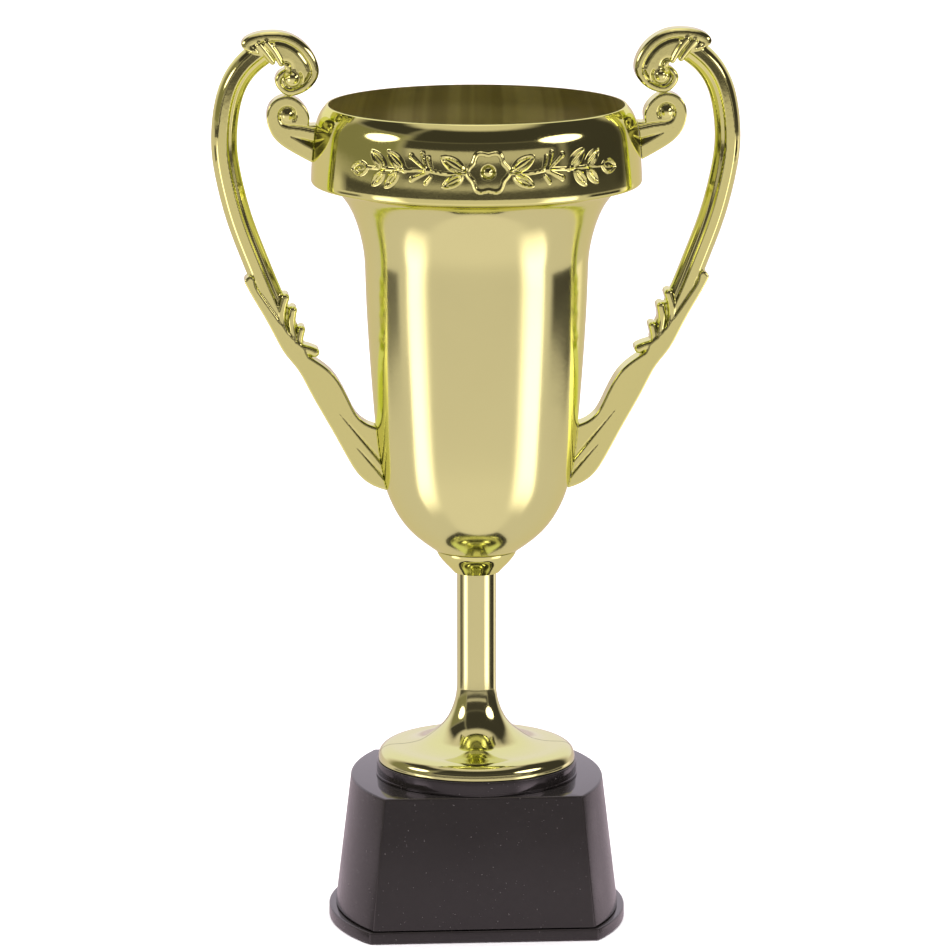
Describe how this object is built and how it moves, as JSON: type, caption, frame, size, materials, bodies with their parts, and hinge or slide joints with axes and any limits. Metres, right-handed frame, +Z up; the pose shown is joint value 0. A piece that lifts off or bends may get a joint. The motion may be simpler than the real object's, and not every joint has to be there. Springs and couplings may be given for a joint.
{
  "type": "cup trophy",
  "caption": "Tall two-handled award cup with a wide rolled collar, on a slender stem and round foot over a tapered black base.",
  "frame": {"origin": "middle of the underside, where the base stands", "axes": "+Z up the stem, X from handle to handle, -Y to the front of the base, the side of the pictured flower"},
  "size_m": [0.1368, 0.0858, 0.2349],
  "materials": {
    "gold": "vacuum-metallised mirror gold",
    "black": "satin moulded black",
    "steel": "zinc plated",
    "iron": "raw casting"
  },
  "bodies": {
    "root": {"base_plate": "black", "base_body": "black", "riser": "black", "ballast": "iron", "base_screw_1": "steel", "base_screw_2": "steel", "base_screw_3": "steel", "base_screw_4": "steel", "foot_front": "gold", "foot_back": "gold", "calyx": "gold", "bowl": "gold", "rim_collar": "gold", "handle_left": "gold", "upper_screw_left": "steel", "lower_screw_left": "steel", "handle_right": "gold", "upper_screw_right": "steel", "lower_screw_right": "steel", "tie_rod": "steel", "top_washer": "steel", "top_nut": "steel", "bottom_washer": "steel", "bottom_nut": "steel"}
  },
  "joints": []
}
